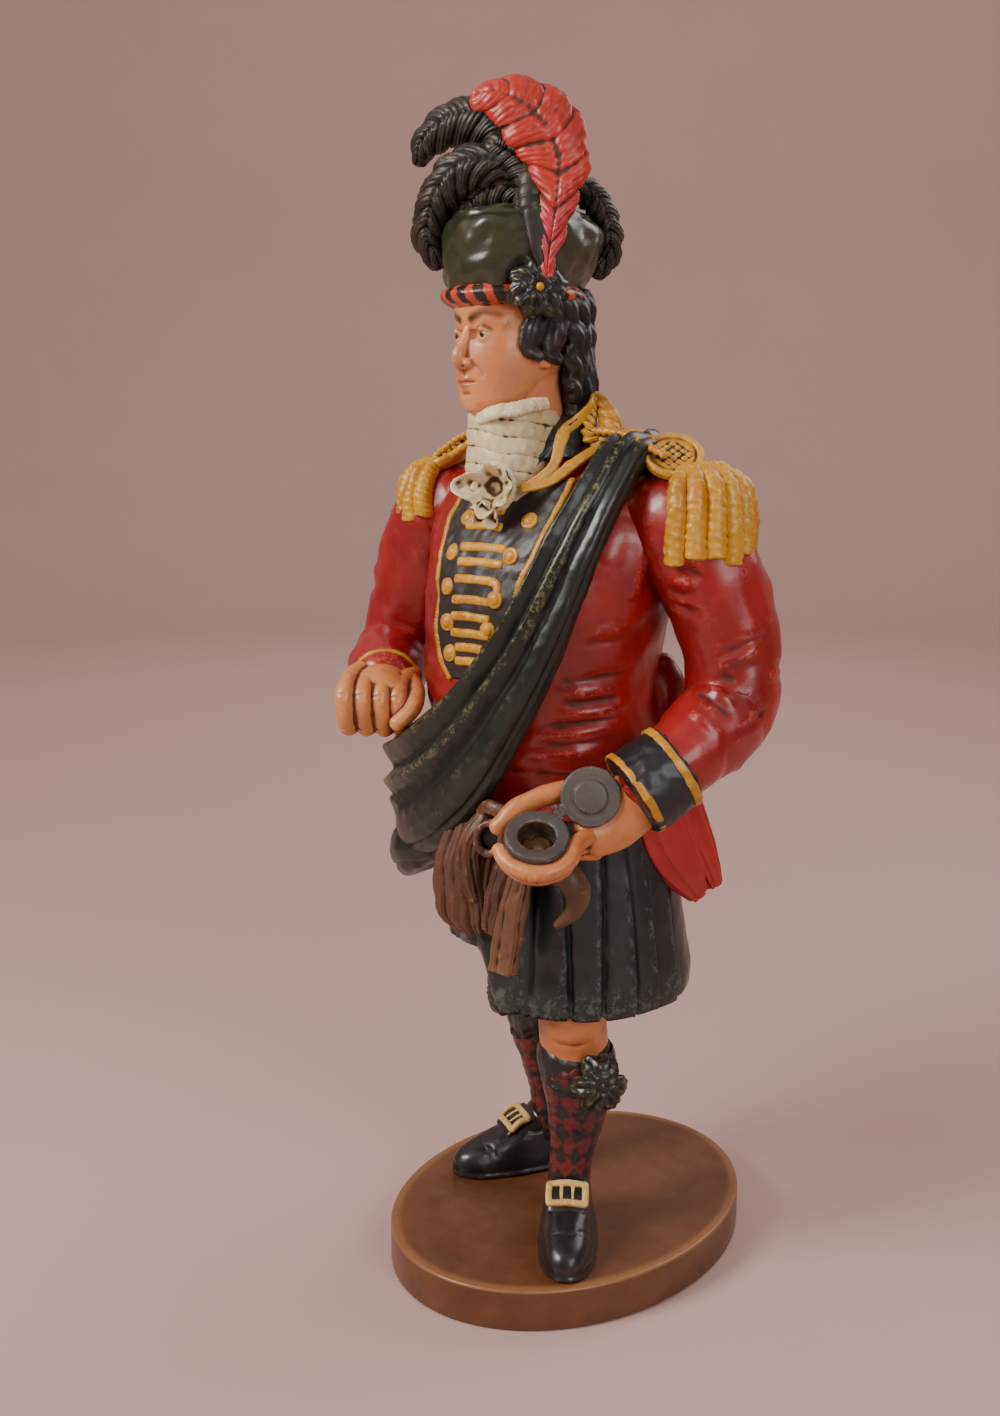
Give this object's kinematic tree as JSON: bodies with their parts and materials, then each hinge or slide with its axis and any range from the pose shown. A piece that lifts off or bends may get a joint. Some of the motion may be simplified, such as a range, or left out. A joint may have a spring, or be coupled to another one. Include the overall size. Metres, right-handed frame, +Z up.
{
  "type": "carved wooden highlander figure",
  "caption": "Carved and painted wooden highland soldier with feather bonnet, plaid and kilt, holding an open snuff mull, standing on an oval plinth.",
  "frame": {"origin": "centre of the oval plinth's underside", "axes": "+Z up through the figure, the figure faces -Y, its own left hand is on the +X side"},
  "size_m": [0.3728, 0.333, 0.9101],
  "materials": {
    "varnished_board": "brown varnish, satin",
    "painted_wood": "oil paint on carved wood, satin to gloss, worn",
    "mull_paint": "grey and brown paint, satin"
  },
  "bodies": {
    "root": {"oval_plinth": "varnished_board", "highlander_figure": "painted_wood", "snuff_mull": "mull_paint"}
  },
  "joints": []
}
